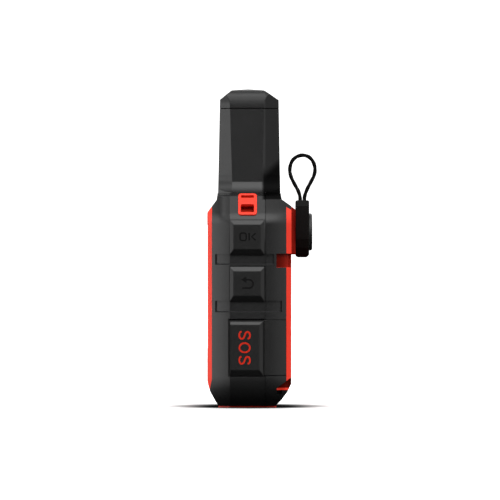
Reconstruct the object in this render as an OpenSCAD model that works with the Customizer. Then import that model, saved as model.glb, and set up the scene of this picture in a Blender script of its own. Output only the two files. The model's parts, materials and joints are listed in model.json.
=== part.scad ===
// Pocket satellite messenger with GPS: a hand-held box with a stub antenna, side keys,
// a covered distress key and a screw-on back plate that carries a short lanyard loop.
// X is the width, with the OK key at +X; the display faces -Y; +Z is up from the sole.

/* [Case] */
// Width across the two flat side walls
body_w = 50; // [49:0.5:51]
// Thickness of the shell walls
wall = 2.2; // [2.0:0.1:2.2]
// Width of the visible seams between the shells
seam = 0.15; // [0.1:0.05:0.2]

/* [Antenna] */
// Height of the antenna tip above the surface the sole stands on
total_h = 99; // [97:0.5:101]
// Height of the antenna cap above its seam
cap_h = 6.2; // [5.6:0.2:7]

/* [Keys and covers] */
// How far a key moves when it is pressed
key_travel = 0.35; // [0.2:0.05:0.35]
// How far the key faces and covers stand proud of the side wall
key_proud = 0.85; // [0.6:0.05:0.85]

/* [Back plate] */
// Width of the back plate
plate_w = 16; // [14:0.5:18]
// Diameter of the thumb screw's head
head_d = 11.6; // [11:0.2:12]
// Diameter of the lanyard loop's cord
cord_d = 1.2; // [1.0:0.1:1.2]

/* [Hidden] */
$fn = 48;

plastic_black = [0.09, 0.09, 0.1];
rubber_black = [0.12, 0.12, 0.13];
signal_red = [0.85, 0.24, 0.17];
board_green = [0.05, 0.3, 0.18];

half_w = body_w / 2;
base_z = 0.5;             // underside of the shells, above the sole's tread
shoulder_z = 66.5;        // top of the body, where the antenna begins
front_y = -12.95;
back_y = 12.95;
bezel_y = -11.65;         // back of the red bezel
frame_y = 11.4;           // front of the red rear frame
parting_y = 4.85;         // back edge of the front shell
rear_start_y = parting_y + seam;
floor_y = -10.25;         // inside of the front wall
rear_floor_y = 9.6;       // inside of the rear wall
far = 60;                 // longer than any part of the case

corner_r = 12;            // rear corners, in plan
corner_y = 4.9;
corner_turn = asin((back_y - corner_y) / corner_r);

// An outline pushed in by t, for outlines that run anticlockwise
function unit(v) = v / norm(v);
function inset(points, t) = [
    for (i = [0:len(points) - 1])
        let (
            n = len(points),
            u = unit(points[i] - points[(i + n - 1) % n]),
            v = unit(points[(i + 1) % n] - points[i]),
            nu = [-u[1], u[0]],
            nv = [-v[1], v[0]]
        )
        points[i] + (nu + nv) * t / (1 + nu * nv)
];
function both_sides(right) = concat(
    right, [for (i = [len(right) - 1:-1:0]) [-right[i][0], right[i][1]]]
);

// Body outlines: from the side (Y, Z), from the front (X, Z) and from above (X, Y)
body_side = [
    [-9.6, base_z], [8, base_z], [9.9, 2.4], [11.8, 5], [back_y, 7.4],
    [back_y, 62.4], [10, 64.5], [9.65, shoulder_z], [-9.9, shoulder_z], [-10.2, 64.3],
    [front_y, 60.6], [front_y, 7.6], [-12.2, 5], [-10.85, 2.5]
];
shoulder_r = 5.2;         // rounding between the side walls and the shoulder slopes
shoulder_turn = atan2(6.4, 6.6);
body_front = both_sides(concat(
    [[half_w - 5.6, base_z], [half_w - 2.6, 2], [half_w - 0.7, 4.3], [half_w, 6.9]],
    [for (i = [0:5]) let (a = i * shoulder_turn / 5) [
        half_w + shoulder_r * (cos(a) - 1),
        58.9 + shoulder_r * (sin(a) - tan(shoulder_turn / 2))
    ]],
    [[half_w - 6.4, 65.5], [half_w - 7.8, 65.9], [half_w - 7.8, shoulder_z]]
));
front_arc = [
    for (a = [-44.58:4.5:-26.5])
        [half_w - 24.065 + 26.9 * cos(a), 5.937 + 26.9 * sin(a)]
];
body_plan = both_sides(concat(
    front_arc,
    [for (i = [0:5]) [
        half_w + corner_r * (cos(i * corner_turn / 5) - 1),
        corner_y + corner_r * sin(i * corner_turn / 5)
    ]]
));

// Half widths from above, run on past the front and back faces, for the case's outer form
long_plan = both_sides(concat(
    [[half_w - 5.94, -14]], front_arc,
    [for (i = [0:5]) [
        half_w + corner_r * (cos(i * corner_turn / 5) - 1),
        corner_y + corner_r * sin(i * corner_turn / 5)
    ]],
    [[half_w - 4.3, 14.5]]
));

// Antenna outlines
cap_seam_z = total_h - cap_h;
antenna_side = [
    [-9.9, 60], [9.7, 60], [9.1, total_h - 3.5], [4.6, total_h - 0.5],
    [-0.5, total_h], [-5.6, total_h - 0.5], [-9.2, total_h - 3.4]
];
antenna_front = both_sides(concat(
    [[11, 60], [11, 70]],
    [for (a = [0:11:66]) [5.64 + 4.81 * cos(a), total_h - 4.8 + 4.81 * sin(a)]],
    [[2.5, total_h]]
));
antenna_plan = both_sides([[7, -10.5], [11, -5.4], [11, 4], [5.6, 10.2]]);
cove_front = both_sides(concat(
    [[half_w - 7.8, 66]],
    [for (a = [0:10:90]) [half_w - 7.8 - 6.3 * sin(a), 70.7 - 4 * cos(a)]],
    [[10.9, 72]]
));
cove_plan = both_sides([[12.5, -10], [half_w - 7.8, -5.6], [half_w - 7.8, 3.9], [12, 10]]);
antenna_bore_r = 7.4;

// Key, cover and notch places
key_z = [47.3, 32.9];     // undersides of the upper and lower side keys
key_h = 10.7;
sos_z = 18.6;             // middle of the distress key and of both covers
band_z = [[44.6, 47.5, 7.6], [29.9, 33.1, 10]];
band_depth = 0.55;
lip_h = 0.35;             // sloping lower wall of a band
switch_x = 20.6;          // tips of the side switches, from the middle plane
claw_foot_z = 5.5;        // below this, the rear shell reaches the back of the case
cover_hinge_y = 9.5;
strap_t = 0.85;
usb_y = -4.57;
boss_at = [[16.2, 57.4], [-16.2, 57.4], [16.2, 9.2], [-16.2, 9.2]];
screw_z = 54.45;          // height of the thumb screw's axis
spine_y = 14.35;          // back face of the spine, where the plate seats
plate_y = 18.6;
vent_at = [11, 50];
power_u = 5.2;            // power key, up the left shoulder slope

// The short loop: both ends stand in the plate, in a crimped ferrule
loop_route = [
    [0, 15.9, 61.6], [0, 15.9, 63], [0, 15.85, 64.4], [0, 15.7, 65.8], [0.05, 15.2, 67.3],
    [0.1, 14.4, 68.8], [0.2, 13.6, 70.3], [0.3, 12.95, 71.8], [0.4, 12.6, 73.4],
    [0.5, 12.75, 75.1], [0.55, 13.4, 76.7], [0.6, 14.7, 77.9], [0.6, 16.5, 78.4],
    [0.55, 18.3, 78], [0.5, 19.6, 76.8], [0.4, 20.3, 75.2], [0.3, 20.45, 73.5],
    [0.2, 20.05, 71.8], [0.1, 19.2, 70.1], [0.05, 18.3, 68.4], [0, 17.65, 66.9],
    [0, 17.25, 65.6], [0, 17.15, 64.4], [0, 17.15, 63], [0, 17.15, 61.6]
];

// ---- Helpers -------------------------------------------------------------------------

// An outline in (Y, Z), both ways along X
module across(points, half = far) {
    rotate([90, 0, 90]) linear_extrude(height = 2 * half, center = true) polygon(points);
}

// An outline in (X, Z), from y0 to y1
module through(points, y0 = -far, y1 = far) {
    translate([0, y1, 0]) rotate([90, 0, 0]) linear_extrude(height = y1 - y0) polygon(points);
}

// An outline in (X, Y), from z0 to z1
module rising(points, z0 = -5, z1 = 110) {
    translate([0, 0, z0]) linear_extrude(height = z1 - z0) polygon(points);
}

module box(low, high) {
    translate(low) cube(high - low);
}

// A round bar along +Y, from y0 to y1, at (x, z)
module bar_y(x, z, r, y0, y1) {
    translate([x, y0, z]) rotate([-90, 0, 0]) cylinder(r = r, h = y1 - y0);
}

// A round bar along +X, from x0 to x1, at (y, z)
module bar_x(y, z, r, x0, x1) {
    translate([x0, y, z]) rotate([0, 90, 0]) cylinder(r = r, h = x1 - x0);
}

module left() {
    mirror([1, 0, 0]) children();
}

module both() {
    children();
    left() children();
}

// The shoulder slope's own frame: local X climbs the slope, local Z points out of it, and
// local Y runs towards the display
slope_turn = atan2(6.6, 6.4);
module on_slope() {
    translate([half_w, 0, 58.9]) rotate([0, -(180 - slope_turn), 0]) rotate([180, 0, 0]) children();
}

module rounded_box(low, high, r) {
    translate([0, 0, low[2]]) linear_extrude(height = high[2] - low[2]) {
        translate([low[0] + r, low[1]]) square([high[0] - low[0] - 2 * r, high[1] - low[1]]);
        translate([low[0], low[1] + r]) square([high[0] - low[0], high[1] - low[1] - 2 * r]);
        for (x = [low[0] + r, high[0] - r])
            for (y = [low[1] + r, high[1] - r])
                translate([x, y]) circle(r);
    }
}

function cut_corners(half, z0, z1, c) = both_sides([
    [half - c, z0], [half, z0 + c], [half, z1 - c], [half - c, z1]
]);

// ---- Overall forms -------------------------------------------------------------------

// The case's side surfaces at rows of [height, how far the sides have drawn in]: each facet
// keeps its place along Y while the sides turn under at the sole and the shoulder
module drawn_in(rows, t = 0) {
    plan = inset(long_plan, t);
    n = len(plan);
    top = len(rows) - 1;
    points = [
        for (row = rows) for (i = [0:n - 1])
            [plan[i][0] + (i < n / 2 ? -row[1] : row[1]), plan[i][1], row[0]]
    ];
    walls = [
        for (j = [0:top - 1]) for (i = [0:n - 1])
            [j * n + i, (j + 1) * n + i, (j + 1) * n + (i + 1) % n, j * n + (i + 1) % n]
    ];
    ends = [[for (i = [0:n - 1]) i], [for (i = [n - 1:-1:0]) top * n + i]];
    polyhedron(points, concat(walls, ends));
}

module body_form(t = 0) {
    front = inset(body_front, t);
    intersection() {
        across(inset(body_side, t));
        drawn_in([for (i = [0:len(front) / 2 - 1]) [front[i][1], half_w - t - front[i][0]]], t);
    }
}

module antenna_form() {
    intersection() {
        across(antenna_side);
        through(antenna_front);
        rising(antenna_plan);
    }
}

module cove_form() {
    intersection() {
        across(antenna_side);
        through(cove_front);
        rising(cove_plan);
    }
}

// The skin of the side walls to a depth of t, to be shaped into bands and notches
module side_skin(t) {
    difference() {
        rising(inset(body_plan, -1), 0, 70);
        rising(inset(body_plan, t), -1, 71);
        box([-half_w + 5, -far, -1], [half_w - 5, far, 71]);
    }
}

module grip_bands() {
    for (band = band_z)
        difference() {
            box([-far, -10.6, band[0] - lip_h], [far, band[2], band[1]]);
            drawn_in([
                [band[0] - lip_h - 0.1, 0], [band[0] - lip_h, 0],
                [band[0], band_depth], [band[1] + 1, band_depth]
            ]);
        }
}

// The rear shell's lip over the top of the rear frame, either side of the spine
module hood() {
    difference() {
        across([[frame_y - 0.2, 62.1], [frame_y, 62.1], [13.5, 60.9], [13.5, 67], [frame_y - 0.2, 67]]);
        box([-7.05, 0, 50], [7.05, 30, 70]);
    }
}

// The chin of the front shell, under the bezel's sloping lower end
module chin() {
    across([
        [-13.5, -1], [bezel_y + 0.2, -1], [bezel_y + 0.2, 8.7], [bezel_y, 8.7],
        [-12.45, 5], [-13.5, 5]
    ]);
}

// Pockets for the rear frame's claws, below the spine and at the lower rear corners
module claw_pockets() {
    across([[8.3, 43.4], [13.5, 43.4], [13.5, 47.7], [8.3, 47.7]]);
    across([[8.4, claw_foot_z], [13.5, claw_foot_z], [13.5, 9.7], [12.8, 9.3], [8.4, 6.1]]);
}

module antenna_bore() {
    translate([0, 0, 60]) cylinder(r = antenna_bore_r, h = 40);
}

module cavity() {
    intersection() {
        body_form(wall);
        box([-far, floor_y, 0], [far, rear_floor_y, 70]);
    }
}

// ---- Case ----------------------------------------------------------------------------

module cover_recess() {
    box([half_w - 0.9, -6.6, sos_z - 8.95], [half_w + 2, rear_start_y + 0.2, sos_z + 8.95]);
}

module strap_recess() {
    intersection() {
        side_skin(strap_t + 0.15);
        box([0, parting_y, sos_z - 8.75], [far, frame_y, sos_z + 8.75]);
    }
}

module key_recess(z) {
    box([half_w - 0.5, -6.25, z - 0.15], [half_w + 2, parting_y + 1, z + key_h + 0.15]);
    box([0, -4.55, z + 2.1], [half_w + 2, 2.85, z + key_h - 2.1]);
    box([half_w - wall - 1.3, -5.6, z + 1.25], [half_w - wall, 3.9, z + key_h - 1.25]);
}

module eyelet_block(grow = 0) {
    rounded_box([0.9 - grow, -2.3 - grow, -3 - grow], [10.1 + grow, 3.5 + grow, 0.35], 1);
}

module sole_recess() {
    box([-16.5, -8, 0], [16.5, 6.5, 1.6]);
}

module front_shell() color(plastic_black) {
    difference() {
        union() {
            difference() {
                intersection() {
                    union() {
                        body_form();
                        antenna_form();
                        cove_form();
                    }
                    union() {
                        box([-far, bezel_y, 0], [far, parting_y, cap_seam_z - 0.1]);
                        chin();
                        box([-far, -20, shoulder_z + 0.05], [far, 20, cap_seam_z - 0.1]);
                    }
                }
                cavity();
            }
            for (at = boss_at) bar_y(at[0], at[1], 2.3, floor_y - 0.5, parting_y);
            intersection() {
                on_slope() box([0.2, -3.6, -4.2], [11.2, 4.8, -1.5]);
                body_form(0.5);
            }
            left() intersection() {
                on_slope() box([1.2, -4.8, -3.4], [9.4, 3.6, -1.5]);
                body_form(0.5);
            }
        }
        antenna_bore();
        grip_bands();
        for (z = key_z) both() key_recess(z);
        both() cover_recess();
        box([0, -4.55, sos_z - 4.65], [half_w + 2, 2.85, sos_z + 4.65]);
        left() box([0, usb_y - 1.85, sos_z - 5.2], [half_w + 2, usb_y + 1.85, sos_z + 5.2]);
        on_slope() eyelet_block(0.02);
        left() on_slope() {
            box([power_u - 2.4, -2.6, -5], [power_u + 2.4, 2.6, 3]);
            box([power_u - 3.2, -3.4, -5], [power_u + 3.2, 3.4, -1.9]);
        }
        box([-12.2, -13, 24.5], [12.2, floor_y + 0.5, 49]);
        bar_y(0, 58.3, 0.85, -14, floor_y + 0.5);
        for (at = boss_at) {
            bar_y(at[0], at[1], 1.6, -1, parting_y + 1);
            bar_y(at[0], at[1], 1.1, -3, 0);
        }
        difference() {
            through(inset(body_front, 1.2), 4.1, parting_y + 1);
            through(inset(body_front, 1.8), 4, parting_y + 2);
        }
        translate([0, 0, cap_seam_z - 0.7]) difference() {
            cylinder(r = 8.65, h = 2);
            translate([0, 0, -1]) cylinder(r = 7.85, h = 4);
        }
        sole_recess();
    }
}

module rear_shell() color(plastic_black) {
    difference() {
        union() {
            difference() {
                intersection() {
                    body_form();
                    union() {
                        box([-far, rear_start_y, 0], [far, frame_y, shoulder_z - 0.1]);
                        box([-far, rear_start_y, 0], [far, 20, claw_foot_z - 0.05]);
                        hood();
                    }
                }
                cavity();
            }
            for (at = boss_at) bar_y(at[0], at[1], 2.3, rear_start_y, frame_y);
            bar_y(0, screw_z, 4.2, 4.2, frame_y);
        }
        antenna_bore();
        grip_bands();
        intersection() {
            side_skin(1.4);
            union() {
                claw_pockets();
                box([-far, 8.4, 4.2], [far, 10, claw_foot_z + 0.1]);
            }
        }
        both() strap_recess();
        both() cover_anchor_tab(0.02);
        for (at = boss_at) bar_y(at[0], at[1], 1.15, 4, 12);
        bar_y(0, screw_z, 3.3, 4.8, 12);
        bar_y(vent_at[0], vent_at[1], 0.8, 9, 12);
        sole_recess();
    }
}

module antenna_cap() color(plastic_black) {
    difference() {
        union() {
            intersection() {
                antenna_form();
                box([-far, -20, cap_seam_z + 0.1], [far, 20, total_h + 5]);
            }
            translate([0, 0, cap_seam_z - 2.4]) cylinder(r = 7.3, h = 3);
        }
        translate([0, 0, cap_seam_z - 3]) cylinder(r = 6.9, h = 6);
    }
}

module cap_gasket() color(rubber_black) {
    translate([0, 0, cap_seam_z - 0.7]) difference() {
        cylinder(r = 8.6, h = 0.8);
        translate([0, 0, -1]) cylinder(r = 7.9, h = 3);
    }
}

module shell_gasket() color(rubber_black) {
    difference() {
        through(inset(body_front, 1.25), 4.1, rear_start_y);
        through(inset(body_front, 1.75), 4, 6);
        translate([0, 0, 60]) cylinder(r = 8, h = 10);
    }
}

module sole() color(signal_red) {
    difference() {
        union() {
            intersection() {
                through(both_sides([[18.2, 0], [18.8, base_z]]), -9.6, 8.3);
                rising(both_sides([[16.2, -9.6], [18.6, -6], [18.8, 4.9], [18.2, 8.3]]));
            }
            box([-16.4, -7.9, base_z], [16.4, 6.4, 1.6]);
        }
        for (x = [-12:4:12]) box([x - 0.6, -7.5, -1], [x + 0.6, 6, 0.25]);
    }
}

module front_bezel() color(signal_red) {
    difference() {
        union() {
            intersection() {
                body_form();
                box([-far, -20, 0], [far, bezel_y, 70]);
            }
            through(cut_corners(19.4, 8, 18.4, 2), front_y - 0.12, front_y + 0.2);
            through(cut_corners(19.4, 56.6, 60.4, 1.5), front_y - 0.12, front_y + 0.2);
        }
        through(cut_corners(16.2, 12.5, 56, 3));
        bar_y(0, 58.3, 0.85, -14, -11);
        chin();
    }
}

module rear_frame() color(signal_red) {
    difference() {
        union() {
            intersection() {
                body_form();
                difference() {
                    box([-far, frame_y, claw_foot_z], [far, 20, 70]);
                    hood();
                }
            }
            intersection() {
                body_form();
                claw_pockets();
                difference() {
                    rising(inset(body_plan, 0.9), 0, 70);
                    rising(inset(body_plan, 1.38), -1, 71);
                    box([-half_w + 5, -far, -1], [half_w - 5, far, 71]);
                }
                box([-far, 8.35, 0], [far, 20, 70]);
            }
            across([[12, 47.4], [spine_y, 47.4], [spine_y, 61.4], [back_y, 62.4], [12, 62.4]], 7);
        }
        intersection() {
            side_skin(0.9);
            claw_pockets();
        }
        for (at = boss_at) bar_y(at[0], at[1], 2, 10, 15);
        for (x = [-5.2, 5.2]) bar_y(x, 59, 0.95, 12.8, 15);
        bar_y(0, screw_z, 3.3, 10, 16);
        bar_y(vent_at[0], vent_at[1], 0.6, 10, 15);
    }
}

module tether_eyelet() color(signal_red) {
    on_slope() difference() {
        eyelet_block();
        rounded_box([2, -1.4, -1.9], [5.4, 2.7, 2], 0.4);
        rounded_box([8.25, -1.4, -1.9], [9.3, 2.7, 2], 0.35);
        box([2.5, -1.4, -2.4], [8.9, 2.7, -1]);
    }
}

module cover_anchor_tab(grow = 0) {
    box(
        [half_w - 2.9 - grow, 10.1 - grow, sos_z - 6 - grow],
        [half_w - 1.4 + grow, 10.8 + grow, sos_z + 6 + grow]
    );
}

// ---- Display -------------------------------------------------------------------------

module display_window() color([0.1, 0.11, 0.12, 0.6]) {
    through(cut_corners(16.1, 12.6, 55.9, 3), -12.65, -11.8);
}

module window_tape() color(rubber_black) {
    difference() {
        through(cut_corners(16, 12.7, 55.8, 3), -11.8, bezel_y);
        box([-12.6, -20, 24.1], [12.6, 0, 49.4]);
    }
}

module status_lens() color([0.8, 0.9, 0.85]) {
    bar_y(0, 58.3, 0.8, -12.9, floor_y);
    bar_y(0, 58.3, 1.5, floor_y, -9.6);
}

module display_frame() color([0.75, 0.75, 0.72]) {
    difference() {
        box([-15, floor_y + 0.05, 20.5], [15, -7.25, 52.5]);
        box([-13.05, -20, 22.15], [13.05, -8.35, 51.05]);
        box([-12, -20, 23.2], [12, 0, 50.2]);
        box([-6.5, -20, 20], [6.5, 0, 24]);
    }
}

module display_panel() color([0.6, 0.64, 0.6]) {
    box([-12.9, floor_y + 0.05, 22.3], [12.9, -8.9, 50.9]);
}

module light_guide() color([0.92, 0.93, 0.95]) {
    box([-12.5, -8.9, 23], [12.5, -8.4, 50.5]);
}

module display_flex() color([0.75, 0.45, 0.15]) {
    box([-6, -9.65, 19.4], [6, -9.5, 22.3]);
    box([-6, -9.65, 19.25], [6, -7.2, 19.4]);
    box([-6, -7.35, 15], [6, -7.2, 19.4]);
    box([-5, -8, 15.2], [5, -7.3, 17.2]);
}

// ---- Electronics ---------------------------------------------------------------------

module main_board() color(board_green) {
    difference() {
        box([-18.3, -7.2, 6.5], [18.3, -6.2, 61]);
        for (at = boss_at) bar_y(at[0], at[1], 2.4, -10, 0);
    }
}

module shield_can(low, high) {
    difference() {
        box(low, high);
        box(low + [0.2, -1, 0.2], high - [0.2, 0.2, 0.2]);
    }
}

module modem_can() color("silver") {
    shield_can([-12, -6.2, 14], [12, -3.6, 39]);
}

module radio_can() color("silver") {
    shield_can([7.5, -6.2, 46], [13.5, -3.8, 54]);
}

module gps_patch() color([0.85, 0.82, 0.74]) {
    box([-6.5, -6.2, 46.5], [6.5, -2.4, 59.5]);
    box([-5.5, -2.4, 47.5], [5.5, -2.2, 58.5]);
}

module buzzer() color([0.15, 0.15, 0.16]) {
    difference() {
        bar_y(10, 12, 3.6, -9.5, -7.2);
        bar_y(10, 12, 0.8, -10, -8.5);
    }
}

module antenna_core() color([0.9, 0.88, 0.82]) {
    translate([0, 0, 66.2]) difference() {
        cylinder(r = 6.2, h = cap_seam_z - 68.2);
        translate([0, 0, -1]) cylinder(r = 5.2, h = cap_seam_z);
    }
}

module antenna_helix() color([0.8, 0.5, 0.25]) {
    rise = (cap_seam_z - 69.4) / 20;
    for (turn = [0:90:270])
        tube([
            for (i = [0:20])
                [6.5 * cos(turn + 10 * i), 6.5 * sin(turn + 10 * i), 66.7 + rise * i]
        ], 0.28, 4);
}

module antenna_feed_board() color(board_green) {
    translate([0, 0, 65.2]) difference() {
        cylinder(r = 6.8, h = 1);
        translate([2.5, 0, -1]) cylinder(r = 0.8, h = 3);
    }
}

module antenna_coax() color([0.2, 0.2, 0.22]) {
    translate([-4, 0, 62.4]) cylinder(r = 0.55, h = 2.8);
    translate([-4, 0, 62.4]) sphere(0.55);
    bar_y(-4, 62.4, 0.55, -4.6, 0);
    translate([-4, -4.6, 62.4]) sphere(0.55);
    translate([-4, -4.6, 60.4]) cylinder(r = 0.55, h = 2);
    bar_y(-4, 60.2, 0.6, -6.2, -4.1);
}

module battery_pack() color([0.15, 0.3, 0.55]) {
    through(cut_corners(15.2, 12, 45.5, 1.2), -3.3, 8.3);
}

module battery_foam() color([0.3, 0.3, 0.32]) {
    box([-13, 8.3, 15], [13, rear_floor_y, 42.5]);
}

module tact_switch(z) {
    box([19.5, -2.5, z - 1.6], [switch_x - 0.3, 0.7, z + 1.6]);
    bar_x(-0.9, z, 0.8, 19.5, switch_x);
}

module key_board(z0, z1) {
    box([18.9, -5, z0], [19.5, 3.2, z1]);
}

module key_boot(z0, z1, key_middles) {
    difference() {
        box([19.5, -4.8, z0 + 0.2], [21.55, 3, z1 - 0.2]);
        box([19, -4.2, z0 + 0.8], [21.25, 2.4, z1 - 0.8]);
        for (z = key_middles) bar_x(-0.9, z, 1.15, 19, 23);
    }
}

upper_middle = key_z[0] + key_h / 2;
lower_middle = key_z[1] + key_h / 2;

module right_key_board() color(board_green) key_board(13, 56.6);

module right_key_switches() color([0.8, 0.8, 0.82]) {
    for (z = [upper_middle, lower_middle, sos_z]) tact_switch(z);
}

module right_key_boot() color([0.45, 0.46, 0.48]) {
    key_boot(13, 56.6, [upper_middle, lower_middle, sos_z]);
}

module left_key_board() color(board_green) left() key_board(33, 56.6);

module left_key_switches() color([0.8, 0.8, 0.82]) {
    left() for (z = [upper_middle, lower_middle]) tact_switch(z);
}

module left_key_boot() color([0.45, 0.46, 0.48]) {
    left() key_boot(33, 56.6, [upper_middle, lower_middle]);
}

module power_key_switch() color([0.8, 0.8, 0.82]) {
    left() on_slope() {
        box([power_u - 1.5, -1.5, -4.95], [power_u + 1.5, 1.5, -4.35]);
        translate([power_u, 0, -4.4]) cylinder(r = 0.7, h = 0.3);
    }
}

module usb_connector() color("silver") {
    left() difference() {
        translate([15.5, usb_y, sos_z]) rotate([0, 90, 0]) usb_tube(4.47, 1.63, 7.2);
        translate([16.5, usb_y, sos_z]) rotate([0, 90, 0]) usb_tube(4.17, 1.28, 8);
    }
    left() box([16, usb_y - 0.35, sos_z - 3.3], [21.6, usb_y + 0.35, sos_z + 3.3]);
}

module usb_tube(half_long, half_short, h) {
    for (x = [-1, 1])
        translate([x * (half_long - half_short), 0, 0]) cylinder(r = half_short, h = h);
    translate([half_short - half_long, -half_short, 0])
        cube([2 * (half_long - half_short), 2 * half_short, h]);
}

// ---- Keys and covers -----------------------------------------------------------------

// A raised pad with sloping skirts, from x0 to its face, in outlines seen from the front
// and from above
module raised_pad(x0, y_base, y_face, z_base, z_face) {
    rim = half_w + 0.05;
    face = half_w + key_proud;
    intersection() {
        through([
            [x0, z_base[0]], [rim, z_base[0]], [face, z_face[0]],
            [face, z_face[1]], [rim, z_base[1]], [x0, z_base[1]]
        ]);
        rising([
            [x0, y_base[0]], [rim, y_base[0]], [face, y_face[0]],
            [face, y_face[1]], [rim, y_base[1]], [x0, y_base[1]]
        ]);
    }
}

module key_stem(x1, middle, half) {
    box([22, -4.4, middle - half], [x1, 2.7, middle + half]);
    box([22, -5.4, middle - half - 0.8], [half_w - wall - 0.1, 3.7, middle + half + 0.8]);
    bar_x(-0.9, middle, 1, switch_x + key_travel + 0.05, 22.1);
}

module side_key(z) {
    raised_pad(
        half_w - 0.1, [-6.1, 4.6], [-4.9, 3.5],
        [z, z + key_h], [z + 1.7, z + key_h - 1.3]
    );
    key_stem(half_w, z + key_h / 2, key_h / 2 - 2.25);
}

module ok_key() color(rubber_black) side_key(key_z[0]);

module back_key() color(rubber_black) side_key(key_z[1]);

module up_key() color(rubber_black) left() side_key(key_z[0]);

module down_key() color(rubber_black) left() side_key(key_z[1]);

module sos_key() color(signal_red) key_stem(half_w - 1.05, sos_z, 4.5);

module power_key() color(rubber_black) {
    left() on_slope() {
        rounded_box([power_u - 2.25, -2.45, -2.5], [power_u + 2.25, 2.45, 0.4], 0.8);
        rounded_box([power_u - 3.05, -3.25, -3.1], [power_u + 3.05, 3.25, -2], 0.8);
        translate([power_u, 0, -3.7]) cylinder(r = 0.8, h = 1);
    }
}

// A door's strap between two depths, wrapped round the rear corner
module strap(y0, y1) {
    intersection() {
        difference() {
            rising(inset(body_plan, 0.03), 0, 70);
            rising(inset(body_plan, strap_t), -1, 71);
        }
        box([0, y0, sos_z - 8.6], [far, y1, sos_z + 8.6]);
    }
}

module side_cover() {
    foot = half_w - 0.8;
    face = half_w + key_proud;
    intersection() {
        through([
            [foot, sos_z - 8.8], [half_w + 0.05, sos_z - 8.8], [face, sos_z - 6.9],
            [face, sos_z + 7.1], [face - 0.5, sos_z + 7.95], [foot + 0.15, sos_z + 8.75],
            [foot, sos_z + 8.8]
        ]);
        rising([
            [foot, -6], [face - 0.15, -6], [face, -5.85], [face, 3], [face - 0.45, 3.9],
            [foot + 0.2, 4.8], [foot, 4.9]
        ]);
    }
    strap(4.72, cover_hinge_y - 0.1);
}

module cover_anchor() {
    strap(cover_hinge_y + 0.1, frame_y - 0.05);
    intersection() {
        cover_anchor_tab();
        rising(inset(body_plan, strap_t - 0.2), 0, 70);
    }
}

module sos_cover() color(rubber_black) side_cover();

module sos_cover_anchor() color(rubber_black) cover_anchor();

module usb_cover() color(rubber_black) left() {
    side_cover();
    box([half_w - 1.9, usb_y - 1.4, sos_z - 4.6], [half_w - 0.7, usb_y + 1.4, sos_z + 4.6]);
}

module usb_cover_anchor() color(rubber_black) left() cover_anchor();

// ---- Fasteners and back plate --------------------------------------------------------

module vent_membrane() color("white") {
    bar_y(vent_at[0], vent_at[1], 2.4, rear_floor_y - 0.3, rear_floor_y);
}

module housing_inserts() color("goldenrod") {
    for (at = boss_at) difference() {
        bar_y(at[0], at[1], 1.58, -0.95, parting_y - 0.1);
        bar_y(at[0], at[1], 1, -2, 8);
    }
}

module housing_screws() color("dimgray") {
    for (at = boss_at) {
        bar_y(at[0], at[1], 0.98, 0, frame_y);
        difference() {
            bar_y(at[0], at[1], 1.9, frame_y, 12.65);
            translate([at[0], 12.1, at[1]]) rotate([-90, 0, 0]) cylinder(r = 0.8, h = 2, $fn = 6);
        }
    }
}

module spine_insert() color("goldenrod") {
    difference() {
        bar_y(0, screw_z, 3.28, 4.8, spine_y);
        bar_y(0, screw_z, 2.5, 4, 15);
    }
}

module adapter_plate() color(plastic_black) {
    difference() {
        union() {
            intersection() {
                across([
                    [spine_y, 47.1], [spine_y + 0.6, 46.5], [plate_y - 0.8, 46.5],
                    [plate_y, 47.3], [plate_y, 64], [plate_y - 0.3, 64.3],
                    [spine_y + 0.3, 64.3], [spine_y, 64]
                ]);
                through(both_sides([
                    [plate_w / 2 - 4.8, 46.4], [plate_w / 2 - 2.8, 47.4], [plate_w / 2 - 1.2, 49.4],
                    [plate_w / 2 - 0.3, 52.2], [plate_w / 2, 55.5], [plate_w / 2, 62.6],
                    [plate_w / 2 - 1.8, 64.4]
                ]), 14, 19);
            }
            for (x = [-5.2, 5.2]) bar_y(x, 59, 0.9, 12.9, spine_y + 0.5);
        }
        bar_y(0, screw_z, 2.6, 12, 20);
        bar_y(0, screw_z, head_d / 2 + 0.15, 18, 20);
        bar_y(0, screw_z, 3.6, 12, 16.85);
        loop_slot(0.1, 61, 66);
        loop_slot(0.25, 59.9, 61.65);
    }
}

// A slot that both cord ends pass through, side by side
module loop_slot(gap, z0, z1) {
    r = cord_d / 2 + gap;
    for (y = [15.9, 17.15]) translate([0, y, z0]) cylinder(r = r, h = z1 - z0);
    box([-r, 15.9, z0], [r, 17.15, z1]);
}

module loop_ferrule() color("goldenrod") loop_slot(0.2, 59.95, 61.6);

module mount_screw() color([0.12, 0.12, 0.13]) {
    difference() {
        union() {
            bar_y(0, screw_z, 2.45, 5.6, 14.45);
            bar_y(0, screw_z, 2.1, 14, 15.5);
            bar_y(0, screw_z, 2.45, 15.15, 18.1);
            bar_y(0, screw_z, head_d / 2, 18.05, 19.2);
            translate([0, 19.2, screw_z]) rotate([-90, 0, 0]) rotate_extrude()
                polygon([[0, 0], [head_d / 2, 0], [head_d / 2 - 0.4, 0.4], [0, 0.4]]);
        }
        box([-3.6, 18.8, screw_z - 0.6], [3.6, 20, screw_z + 0.6]);
    }
}

module screw_retainer() color("silver") {
    difference() {
        bar_y(0, screw_z, 3.4, 14.5, 15.1);
        bar_y(0, screw_z, 2.15, 14, 16);
        box([-0.8, 14, screw_z - 5], [0.8, 16, screw_z]);
    }
}

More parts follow.
